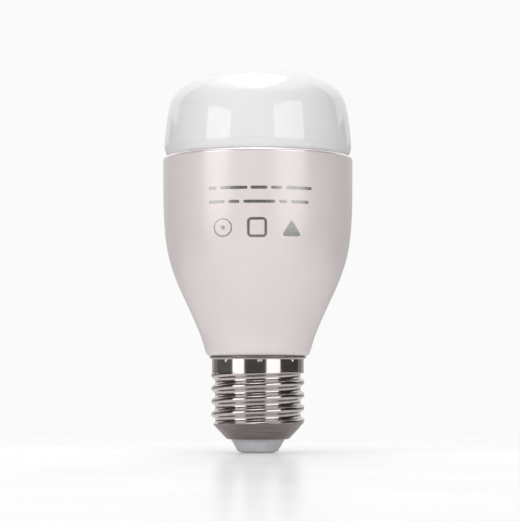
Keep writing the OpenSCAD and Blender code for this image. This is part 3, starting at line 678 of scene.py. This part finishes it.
def contact_metal(slot):
    """Turned metal, with rings round its centre."""
    f = Finish("contact_metal", slot, Metallic=1.0)
    turns = f.maths("MULTIPLY", f.length(f.where), 1 / (0.3 * MM))
    rings = f.node("ShaderNodeTexNoise", {"W": turns}, noise_dimensions="1D", Scale=1.0,
                   Detail=3.0).outputs["Fac"]
    f.tint(f.noise(1.5, 5), 0.8, 1.03)
    f.rough(rings, 0.16, 0.4)
    f.bump(rings, 0.004)
    return f.material


def marking_ink(slot):
    """Thin silvery ink."""
    f = Finish("marking_ink", slot, Metallic=0.7)
    f.base = (0.32, 0.315, 0.315)
    f.tint(f.noise(0.25, 4), 0.82, 1.12)
    f.rough(f.noise(1.2, 2), 0.24, 0.3)
    f.bump(f.noise(0.3, 2), 0.0006)
    return f.material


def moulded(slot, low, high, grain=0.14, relief=0.006, soft=0.0):
    """Moulded or cast plastic: cloudy colour, flow marks and a fine skin."""
    f = Finish(slot, slot, IOR=1.5, Subsurface_Weight=soft, Subsurface_Scale=0.6 * MM)
    f.tint(f.noise(3.5, 5, distortion=0.5), 0.9, 1.06)
    f.rough(f.noise(0.8, 4), low, high)
    f.bump(f.noise(grain, 2), relief)
    f.bump(f.noise(5.0, 2, stretch=(1, 1, 0.4)), 0.02)
    return f.material


def metal(slot, low, high, stretch=(1, 1, 0.06), line=0.3, relief=0.003, shade=0.88):
    """Plated, drawn or rolled metal: fine lines one way, with stains and small dents."""
    f = Finish(slot, slot, Metallic=1.0)
    lines = f.noise(line, 5, stretch=stretch, roughness=0.7)
    f.tint(f.noise(4.0, 5, roughness=0.65), shade, 1.05)
    f.rough(lines, low, high)
    f.bump(lines, relief)
    f.bump(f.noise(1.6, 2), 0.006)
    return f.material


def solder(slot):
    """Bright uneven solder."""
    f = Finish(slot, slot, Metallic=1.0)
    f.tint(f.noise(0.5, 4), 0.78, 1.05)
    f.rough(f.noise(0.3, 4), 0.12, 0.4)
    f.bump(f.cells(0.35, feature="SMOOTH_F1"), 0.03)
    return f.material


# Boards: sizes in millimetres, and a hole's radius and soft edge as shares of the holes' pitch
TRACK_PITCH, TRACK_BLOCK, HOLE_PITCH = 1.05, 5.2, 3.1
HOLE_SHARE, HOLE_EDGE_SHARE = 0.10, 0.015


def board(slot, copper, flat=True, etched=0.62):
    """A circuit board, level if flat: solder mask over runs of etched tracks, with plated holes."""
    f = Finish(slot, slot, IOR=1.55, Coat_Weight=0.3, Coat_Roughness=0.25)
    vector = f.place(turn=(0, 0, 0) if flat else (90, 0, 0))
    blocks = f.node("ShaderNodeTexVoronoi", {"Vector": vector}, Scale=1 / (TRACK_BLOCK * MM), Randomness=0.6,
                    voronoi_dimensions="2D", distance="CHEBYCHEV")
    # Each block has its gaps one way, the other way, or none.
    pick = f.node("ShaderNodeSeparateColor", {"Color": blocks.outputs["Color"]}).outputs["Red"]
    gaps = [f.ranged(f.bands(TRACK_PITCH, axis), 1.0, 0.0, 0.2, 0.3) for axis in ("X", "Y" if flat else "Z")]
    gap = f.maths("ADD", f.maths("MULTIPLY", gaps[0], f.maths("GREATER_THAN", pick, 0.62)),
                  f.maths("MULTIPLY", gaps[1], f.maths("LESS_THAN", pick, 0.38)))
    dots = f.node("ShaderNodeTexVoronoi", {"Vector": vector}, Scale=1 / (HOLE_PITCH * MM), Randomness=0.55,
                  voronoi_dimensions="2D")
    ring = f.ranged(dots.outputs["Distance"], 1.0, 0.0, HOLE_SHARE, HOLE_SHARE + HOLE_EDGE_SHARE)
    pour = tuple(min(1.0, c * 1.3 + 0.015) for c in f.base)
    mask = f.blended(gap, pour, tuple(c * etched for c in f.base))
    cloudy = f.blended(f.ranged(f.noise(6.0, 4), 0.0, 0.25), mask, tuple(c * 0.8 for c in f.base))
    f.paint(f.blended(ring, cloudy, copper))
    f.rough(f.noise(0.7, 3), 0.28, 0.42)
    f.bump(f.maths("SUBTRACT", 1.0, gap), 0.03)
    f.bump(f.noise(0.35, 2), 0.004)
    return f.material


def glazed(slot, low=0.12, high=0.3, relief=0.03):
    """Dipped or glazed ceramic: glossy, thick and thin in places, a few pits."""
    f = Finish(slot, slot, IOR=1.55, Coat_Weight=0.4, Coat_Roughness=0.08)
    f.tint(f.noise(1.8, 5, stretch=(1, 1, 0.6)), 0.8, 1.12)
    f.rough(f.noise(0.6, 3), low, high)
    f.bump(f.noise(1.2, 2), relief)
    f.bump(f.ranged(f.cells(0.55), 0.0, 1.0, 0.05, 0.16), 0.008)
    return f.material


def ferrite(slot):
    """Dark pressed powder."""
    f = Finish(slot, slot, IOR=1.9)
    grains = f.specks(0.12)
    f.tint(grains, 0.75, 1.35, 0.2, 0.8)
    f.rough(f.noise(0.5, 4), 0.42, 0.7)
    f.bump(grains, 0.008)
    f.bump(f.noise(2.0, 4), 0.02)
    return f.material


def wound(slot, pitch, direction="Z", metallic=0.0, dark=0.6, relief=0.08):
    """Windings of wire or tape: a band for each turn, darker between turns as painted shade in the grooves.
    """
    f = Finish(slot, slot, Metallic=metallic, Coat_Weight=0.5, Coat_Roughness=0.12)
    turns = f.bands(pitch, direction, distortion=0.6)
    # Each band's dark part lies in the groove between turns: painted shade.
    f.tint(turns, dark, 1.06, 0.05, 0.5)
    f.rough(f.noise(0.6, 4), 0.2, 0.35)
    f.bump(turns, relief)
    f.bump(f.noise(0.8, 3), 0.01)
    return f.material


STRIPE_COLOUR = (0.82, 0.82, 0.8)


def sleeve(slot):
    """Shrunk sleeve: glossy film with a pale polarity stripe along one side and fine creases."""
    f = Finish(slot, slot, IOR=1.5, Coat_Weight=0.5, Coat_Roughness=0.1)
    line = f.ranged(f.bands(13.0, "X"), 0.0, 1.0, 0.93, 0.95)
    plain = f.tint(f.noise(2.0, 4), 0.85, 1.12)
    f.paint(f.blended(line, plain, STRIPE_COLOUR))
    f.rough(f.noise(0.7, 3), 0.18, 0.32)
    f.bump(f.noise(1.0, 3, stretch=(1, 1, 0.25)), 0.02)
    return f.material


def phosphor(slot):
    """Soft gel full of fine powder."""
    f = Finish(slot, slot, IOR=1.42, Subsurface_Weight=0.5, Subsurface_Scale=0.15 * MM)
    f.tint(f.cells(0.06), 0.85, 1.08, 0.1, 0.7)
    f.rough(f.noise(0.3, 3), 0.2, 0.38)
    f.bump(f.noise(0.2, 2), 0.004)
    return f.material


def extruded(slot):
    """Wire insulation: satin, with lines along the wire and light scuffs."""
    f = Finish(slot, slot, IOR=1.5)
    f.tint(f.noise(1.5, 5), 0.85, 1.1)
    f.rough(f.noise(0.5, 4, stretch=(1, 1, 0.2)), 0.35, 0.55)
    f.bump(f.noise(0.15, 3, stretch=(1, 1, 0.08)), 0.006)
    return f.material


def compound(slot):
    """Soft paste or sealant: matt, with drag marks and small bubbles."""
    f = Finish(slot, slot, IOR=1.42, Subsurface_Weight=0.2, Subsurface_Scale=0.4 * MM)
    f.tint(f.noise(1.0, 5, distortion=0.7), 0.88, 1.04)
    f.rough(f.noise(0.5, 4), 0.42, 0.66)
    f.bump(f.noise(0.8, 4, distortion=0.5), 0.03)
    f.bump(f.ranged(f.cells(0.7), 0.0, 1.0, 0.05, 0.2), 0.01)
    return f.material


MAKERS = {
    "silicone": compound,
    "casing_plastic": lambda s: moulded(s, 0.38, 0.55, soft=0.1),
    "sheet_aluminium": lambda s: metal(s, 0.28, 0.48),
    "thermal_compound": compound,
    "white_solder_mask": lambda s: board(s, (0.9, 0.78, 0.5), etched=0.84),
    "led_plastic": lambda s: moulded(s, 0.35, 0.5, grain=0.06, relief=0.003, soft=0.1),
    "warm_phosphor": phosphor,
    "cool_phosphor": phosphor,
    "zinc_steel": lambda s: metal(s, 0.22, 0.4, stretch=(1, 1, 1), line=0.2),
    "connector_plastic": lambda s: moulded(s, 0.25, 0.4),
    "gold_plate": lambda s: metal(s, 0.15, 0.3, line=0.15, relief=0.001, shade=0.92),
    "black_plastic": lambda s: moulded(s, 0.42, 0.62, grain=0.08),
    "green_board": lambda s: board(s, (0.75, 0.72, 0.66), flat=False),
    "can_aluminium": lambda s: metal(s, 0.2, 0.36, line=0.2),
    "brown_sleeve": sleeve,
    "navy_sleeve": sleeve,
    "yellow_case": lambda s: moulded(s, 0.25, 0.4, grain=0.3, relief=0.01),
    "blue_ceramic": glazed,
    "green_ceramic": glazed,
    "ferrite": ferrite,
    "copper_wire": lambda s: wound(s, 0.32, metallic=0.85, direction="DIAGONAL"),
    "yellow_tape": lambda s: wound(s, 3.1, dark=0.86, relief=0.03),
    "chip_resistor": lambda s: glazed(s, 0.25, 0.4, relief=0.004),
    "chip_capacitor": lambda s: glazed(s, 0.35, 0.5, relief=0.004),
    "tinned_wire": lambda s: metal(s, 0.2, 0.36, line=0.12, relief=0.001),
    "solder": solder,
    "blue_board": lambda s: board(s, (0.83, 0.68, 0.33), flat=False),
    "shield_steel": lambda s: metal(s, 0.2, 0.38, stretch=(0.06, 1, 1), line=0.2),
    "red_insulation": extruded,
    "blue_insulation": extruded,
}

# ---------------------------------------------------------------- carried-over CAD nodes
for slot_name, maker in MAKERS.items():
    finish = maker(slot_name)
    for node_name, node_slot in NODE_SLOTS.items():
        if node_slot == slot_name:
            for material_slot in NODES[node_name].material_slots:
                material_slot.material = finish


# ---------------------------------------------------------------- pieces that replace the outside
def add(piece, node, slot, *materials):
    """Gives a piece its materials and body, and hides the CAD node that it stands for, if any; slot is not
    used.
    """
    for material in materials:
        piece.data.materials.append(material)
    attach(piece, "root")
    if node:
        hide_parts(node)
    return piece


FINE_SEGMENTS, MIDDLE_SEGMENTS, COARSE_SEGMENTS = 288, 192, 128
SECOND_MATERIAL = 1
# The second material, a painted highlight on the housing's rim and painted shade on the cap's cone and lip,
# is for faces this far outside the housing's inner wall, this near the cone's surface, or this close below
# the cap's top.
RIM_SKIN, CONE_SKIN, LIP_H = 0.1, 0.12, 0.7

add(turned("opal_dome", dome_outline(), FINE_SEGMENTS), "diffuser_dome", "opal_diffuser",
    opal_plastic("opal_diffuser"))
housing = add(turned("pearl_housing", housing_outline(), FINE_SEGMENTS), "housing_shell", "pearl_paint",
              pearl_paint("pearl_paint"), painted_highlight_rim("pearl_paint"))
# Faces on the rounded rim take the rim material, whose lighter colour is a painted highlight.
for face in housing.data.polygons:
    outside = math.hypot(*face.center[:2]) > (HOUSING_R - HOUSING_WALL + RIM_SKIN) * MM
    if outside and face.center.z > (RIM_Z - RIM_ROUND) * MM:
        face.material_index = SECOND_MATERIAL

cap = add(cap_piece("threaded_cap"), "screw_cap_shell", "nickel_plate",
          nickel("nickel_plate"), shaded_satin_nickel("nickel_plate"))
# The cone and the lip take the darker satin copy of the plating: painted shade, on the lip for the shadow
# under the housing.
for face in cap.data.polygons:
    r, z = math.hypot(*face.center[:2]) / MM, face.center.z / MM
    on_cone = z < CONE_SATIN_Z and abs(r - cone_at(z)) < CONE_SKIN
    if on_cone or z > CAP_TOP_Z - LIP_H:
        face.material_index = SECOND_MATERIAL

add(turned("insulator_plug", insulator_outline(), MIDDLE_SEGMENTS), "cap_insulator", "insulator_plastic",
    insulator("insulator_plastic"))
add(turned("end_contact", contact_outline(), COARSE_SEGMENTS), "centre_contact", "contact_metal",
    contact_metal("contact_metal"))

# Plain bars and shapes stand in for the rating print.
PRINT_SLOT = "marking_ink"
BAR_H = 0.85
# For each line's height, the start and length of its bars
LINES = {
    72.5: ((-13.4, 2.2), (-10.2, 7.4), (-2.0, 4.6), (3.6, 3.1), (7.7, 7.0)),
    68.7: ((-13.4, 4.4), (-8.0, 3.0), (-3.9, 8.6), (5.8, 2.2), (9.0, 4.8)),
}
SHAPE_Z, SHAPE_R = 61.7, 2.35
RING_X, SQUARE_X, TRIANGLE_X = -9.5, -0.2, 9.2
TRIANGLE_HALF, SQUARE_ROUND, TRIANGLE_ROUND = 2.7, 0.8, 0.5
DOT_HALF, DOT_H = 0.6, 1.1
FINE_STROKE, BOLD_STROKE = 0.36, 0.72

bars = [bar(x, x + length, z, BAR_H) for z, row in LINES.items() for x, length in row]
circle = arc(RING_X, SHAPE_Z, SHAPE_R, 0, 360, 45)[:-1]
dot = bar(RING_X - DOT_HALF, RING_X + DOT_HALF, SHAPE_Z, DOT_H)
square = rounded_shape([(SQUARE_X + x * SHAPE_R, SHAPE_Z + z * SHAPE_R)
                        for x, z in ((-1, -1), (1, -1), (1, 1), (-1, 1))], SQUARE_ROUND)
triangle = rounded_shape([(TRIANGLE_X - TRIANGLE_HALF, SHAPE_Z - SHAPE_R),
                          (TRIANGLE_X + TRIANGLE_HALF, SHAPE_Z - SHAPE_R),
                          (TRIANGLE_X, SHAPE_Z + SHAPE_R)], TRIANGLE_ROUND)
ink = marking_ink(PRINT_SLOT)
for print_name, strips in (("print_bars", bars),
                           ("print_ring", [stroke(circle, FINE_STROKE), dot]),
                           ("print_square", [stroke(square, BOLD_STROKE)]),
                           ("print_triangle", [filled(triangle)])):
    add(film_piece(print_name, strips), None, PRINT_SLOT, ink)


# ---------------------------------------------------------------- studio, metres
def direction(azimuth, elevation):
    """A unit vector: azimuth 0 is towards the camera and positive to its right."""
    a, e = math.radians(azimuth), math.radians(elevation)
    return Vector((math.sin(a) * math.cos(e), -math.cos(a) * math.cos(e), math.sin(e)))


BULB_CENTRE = Vector((0, 0, 0.06))


def softbox(name, width, height, radiance, shape="RECTANGLE", reflected=True):
    """An area light of that brightness at the origin, facing down. The camera doesn't see it."""
    area = width * height * (math.pi / 4 if shape == "ELLIPSE" else 1)
    light = bpy.data.lights.new(name, "AREA")
    light.shape, light.size, light.size_y = shape, width, height
    light.energy = radiance * math.pi * area
    lamp = bpy.data.objects.new(name, light)
    lamp.visible_camera = False
    lamp.visible_glossy = reflected
    bpy.context.scene.collection.objects.link(lamp)
    return lamp


def aim(lamp, azimuth, elevation, distance):
    """Moves a light out from the bulb's centre in that direction and turns it to face the bulb."""
    away = direction(azimuth, elevation)
    lamp.location = BULB_CENTRE + away * distance
    lamp.rotation_euler = away.to_track_quat("Z", "Y").to_euler()


aim(softbox("left_softbox", 0.50, 0.52, radiance=2.55), azimuth=-50, elevation=9, distance=0.9)
aim(softbox("right_softbox", 0.60, 0.57, radiance=2.2), azimuth=39.5, elevation=10.5, distance=0.9)
aim(softbox("front_fill", 0.8, 0.8, radiance=1.2, reflected=False), azimuth=-8, elevation=14, distance=1.0)
aim(softbox("back_fill", 0.7, 0.4, radiance=2.4, reflected=False), azimuth=180, elevation=36, distance=0.95)
for side, azimuth, radiance in (("left", -92, 1.1), ("right", 92, 0.7)):
    low_fill = softbox(side + "_low_fill", 0.5, 0.3, radiance, reflected=False)
    aim(low_fill, azimuth, elevation=-12, distance=0.8)

# The panel overhead lies level, a little to the left and behind.
PANEL_H = 0.85
panel = softbox("overhead_panel", 0.74 * PANEL_H, 1.6 * PANEL_H, radiance=2.65, shape="ELLIPSE")
panel.location = (-0.07 * PANEL_H, 0.12 * PANEL_H, PANEL_H + 0.1)


def emission(name, colour, strength):
    """A material that gives off light evenly."""
    material = bpy.data.materials.new(name)
    material.use_nodes = True
    tree = material.node_tree
    tree.nodes.clear()
    shader = tree.nodes.new("ShaderNodeEmission")
    shader.inputs["Color"].default_value = (*colour, 1)
    shader.inputs["Strength"].default_value = strength
    tree.links.new(shader.outputs["Emission"], tree.nodes.new("ShaderNodeOutputMaterial").inputs["Surface"])
    return material


# Cards and floor are meshes, so their sizes are in millimetres.
CARD_DISTANCE, CARD_STEPS = 1200.0, 24
CARD_TINT = (1.0, 0.98, 0.96)
LOW_BAND, HIGH_BAND, REAR_BAND = (-14, 20), (20, 52), (-14, 14)


def dark_card(name, azimuths, elevations, strength):
    """A curved dark card that only reflections see, between two azimuths and two elevations."""
    (az0, az1), (el0, el1) = azimuths, elevations
    points = []
    for el in (el0, (el0 + el1) / 2, el1):
        z = BULB_CENTRE.z / MM + CARD_DISTANCE * math.tan(math.radians(el))
        for i in range(CARD_STEPS + 1):
            p = direction(az0 + (az1 - az0) * i / CARD_STEPS, 0) * CARD_DISTANCE
            points.append((p.x, p.y, z))
    n = CARD_STEPS + 1
    faces = [(k * n + i, k * n + i + 1, (k + 1) * n + i + 1, (k + 1) * n + i)
             for k in range(2) for i in range(CARD_STEPS)]
    card = finish_mesh(name, points, faces)
    card.data.materials.append(emission(name, CARD_TINT, strength))
    for ray in ("camera", "diffuse", "transmission", "volume_scatter", "shadow"):
        setattr(card, "visible_" + ray, False)


dark_card("front_card", (-62, 55), LOW_BAND, 0.105)
dark_card("left_front_card", (-122, -62), LOW_BAND, 0.16)
dark_card("right_front_card", (55, 120), LOW_BAND, 0.085)
dark_card("upper_card", (-122, 120), HIGH_BAND, 0.03)
dark_card("left_card", (-142, -122), REAR_BAND, 0.3)
dark_card("right_card", (120, 140), REAR_BAND, 0.3)

# The floor lies just under the contact, so that the two never share a plane.
FLOOR_GAP, FLOOR_R, FLOOR_RINGS, FLOOR_SEGMENTS = 0.02, 3000.0, 24, 96
FLOOR_BOUNCE = (0.66, 0.66, 0.66, 1.0)
# It fades between two distances in metres from a point in front of the bulb.
FADE_CENTRE_Y, FADE_FROM, FADE_TO = -0.08, 0.09, 0.32


def ground():
    """A pale floor that fades into the backdrop, is dimmer to diffuse rays and is clear from below."""
    angles = [2 * math.pi * i / FLOOR_SEGMENTS for i in range(FLOOR_SEGMENTS)]
    radii = [FLOOR_R * (k / FLOOR_RINGS) ** 2 for k in range(1, FLOOR_RINGS + 1)]
    rings = [[(r * math.cos(a), r * math.sin(a), -FLOOR_GAP) for a in angles] for r in radii]
    vertices, faces = ring_grid([[(0.0, 0.0, -FLOOR_GAP)]] + rings, loop=False)
    floor = finish_mesh("floor", vertices, [face[::-1] for face in faces])

    f = Finish("floor", None, IOR=1.4, Specular_IOR_Level=0.1, Emission_Strength=0.18)
    f.shader.inputs["Emission Color"].default_value = (1.0, 1.0, 1.0, 1.0)
    f.base = (0.95, 0.95, 0.955)
    f.tint(f.noise(160.0, 3), 0.99, 1.0)
    f.rough(f.noise(60.0, 3), 0.16, 0.2)

    from_centre = f.node("ShaderNodeVectorMath", {"Vector": f.where}, operation="ADD")
    from_centre.inputs[1].default_value = (0.0, -FADE_CENTRE_Y, 0.0)
    fade = f.ranged(f.length(from_centre.outputs["Vector"]), 0.0, 1.0, FADE_FROM, FADE_TO)
    under = f.node("ShaderNodeNewGeometry").outputs["Backfacing"]
    bounce = f.node("ShaderNodeBsdfDiffuse", Color=FLOOR_BOUNCE).outputs["BSDF"]
    lit = mixed_shaders(f.tree, f.node("ShaderNodeLightPath").outputs["Is Diffuse Ray"],
                        f.shader.outputs["BSDF"], bounce)
    surface = mixed_shaders(f.tree, f.maths("MAXIMUM", fade, under),
                            lit, f.node("ShaderNodeBsdfTransparent").outputs["BSDF"])
    f.tree.links.new(surface, f.output.inputs["Surface"])
    floor.data.materials.append(f.material)


def mixed_shaders(tree, factor, first, second):
    """The first shader where the factor is 0 and the second where it is 1."""
    mix = tree.nodes.new("ShaderNodeMixShader")
    for socket, source in zip(mix.inputs, (factor, first, second)):
        tree.links.new(source, socket)
    return mix.outputs["Shader"]


ground()

# The room is a pale backdrop to the camera and dimmer to the bulb. In reflections it grows brighter with
# height, between two values of the direction's Z.
BACKDROP, ROOM_LIGHT = 0.955, 0.175
REFLECTED_LOW, REFLECTED_HIGH = 0.64, 1.22
REFLECTED_FROM, REFLECTED_TO = 0.03, 0.22
world = bpy.data.worlds.new("studio")
bpy.context.scene.world = world
world.use_nodes = True
tree = world.node_tree
tree.nodes.clear()


def backdrop(strength):
    """An even white surrounding."""
    made = tree.nodes.new("ShaderNodeBackground")
    made.inputs["Color"].default_value = (1.0, 1.0, 1.0, 1.0)
    made.inputs["Strength"].default_value = strength
    return made


rays = tree.nodes.new("ShaderNodeLightPath").outputs
height = tree.nodes.new("ShaderNodeSeparateXYZ")
tree.links.new(tree.nodes.new("ShaderNodeTexCoord").outputs["Generated"], height.inputs["Vector"])
glow = tree.nodes.new("ShaderNodeMapRange")
tree.links.new(height.outputs["Z"], glow.inputs["Value"])
for socket, value in (("From Min", REFLECTED_FROM), ("From Max", REFLECTED_TO),
                      ("To Min", REFLECTED_LOW), ("To Max", REFLECTED_HIGH)):
    glow.inputs[socket].default_value = value
reflected = tree.nodes.new("ShaderNodeBackground")
tree.links.new(glow.outputs["Result"], reflected.inputs["Strength"])
surroundings = mixed_shaders(tree, rays["Is Glossy Ray"], backdrop(ROOM_LIGHT).outputs["Background"],
                             reflected.outputs["Background"])
room = mixed_shaders(tree, rays["Is Camera Ray"], surroundings, backdrop(BACKDROP).outputs["Background"])
tree.links.new(room, tree.nodes.new("ShaderNodeOutputWorld").inputs["Surface"])

bpy.context.scene.view_settings.view_transform = "Standard"
bpy.context.scene.view_settings.look = "None"

CAMERA_PLACE, CAMERA_PITCH = (0.0006, -0.576, 0.019), 3.5
camera = bpy.data.cameras.new("camera")
camera.lens, camera.sensor_width = 140.7, 36.0
camera.clip_start, camera.clip_end = 0.01, 100.0
camera_object = bpy.data.objects.new("camera", camera)
camera_object.location = CAMERA_PLACE
camera_object.rotation_euler = (math.radians(90 + CAMERA_PITCH), 0, 0)
bpy.context.scene.collection.objects.link(camera_object)
bpy.context.scene.camera = camera_object

bpy.context.view_layer.update()
